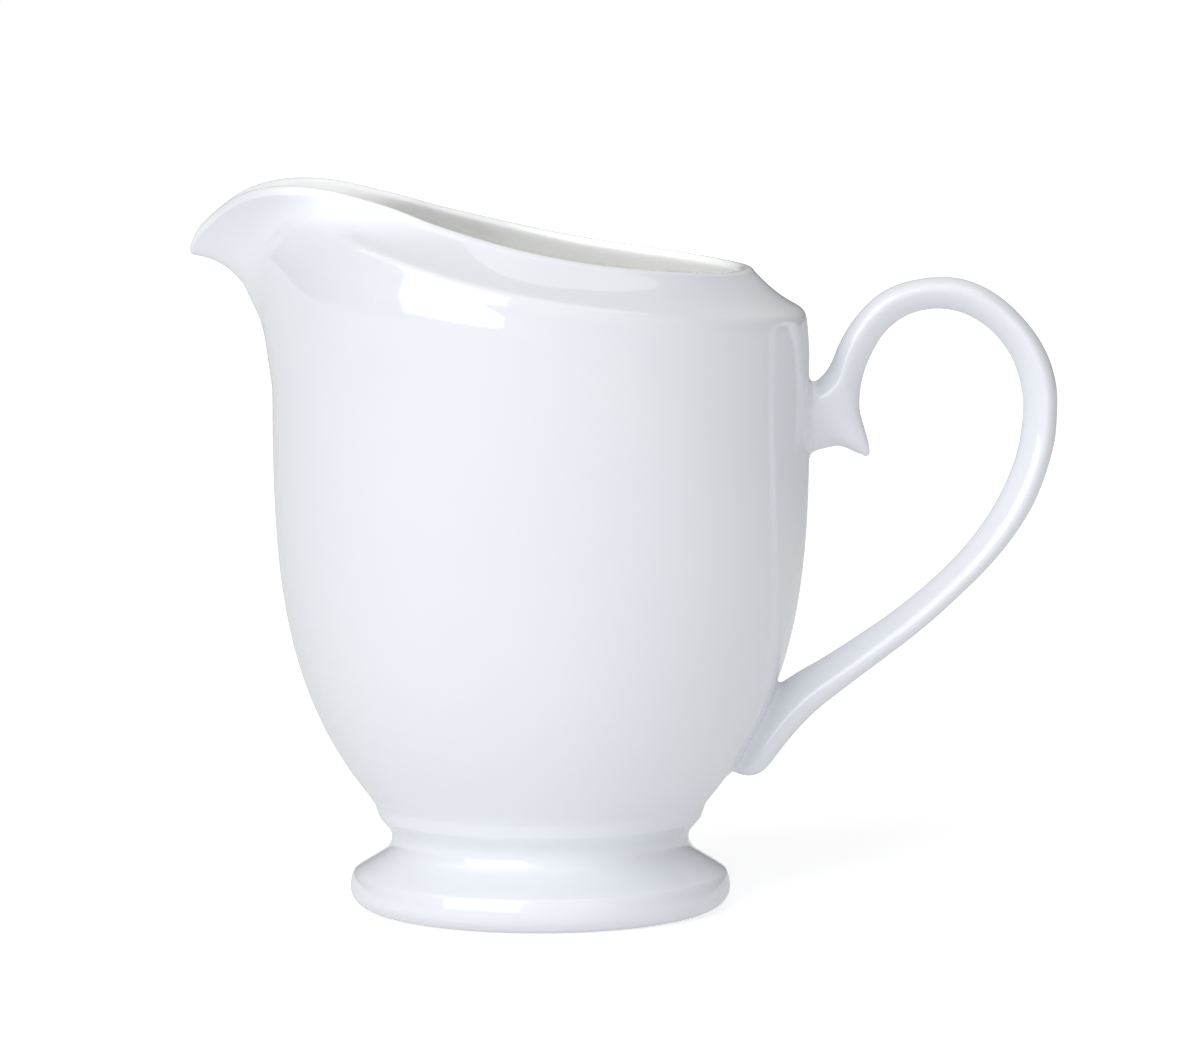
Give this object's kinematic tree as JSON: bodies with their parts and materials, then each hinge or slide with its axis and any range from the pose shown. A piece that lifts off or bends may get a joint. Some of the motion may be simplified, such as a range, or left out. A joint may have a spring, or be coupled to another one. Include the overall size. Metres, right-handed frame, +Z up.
{
  "type": "cream jug",
  "caption": "Footed porcelain cream jug with a pinched pouring spout, wavy rim, sloped shoulder and a looped handle with a thorn.",
  "frame": {"origin": "on the plane the foot stands on, under the middle of the bounding box; the bowl's own axis is at x = -12.25 mm", "axes": "+Z up, +X towards the handle, -X towards the spout; mirror-symmetric about the XZ plane"},
  "size_m": [0.1247, 0.0772, 0.1049],
  "materials": {
    "body_glaze": "gloss transparent glaze over white porcelain",
    "foot_glaze": "gloss transparent glaze over white porcelain, standing ring wiped bare",
    "handle_glaze": "gloss transparent glaze over white porcelain",
    "slip": "luting slip of the same clay, under the glaze"
  },
  "bodies": {
    "root": {"jug_body": "body_glaze", "pedestal_foot": "foot_glaze", "handle": "handle_glaze", "upper_handle_slip_joint": "slip", "lower_handle_slip_joint": "slip", "foot_slip_joint": "slip"}
  },
  "joints": []
}
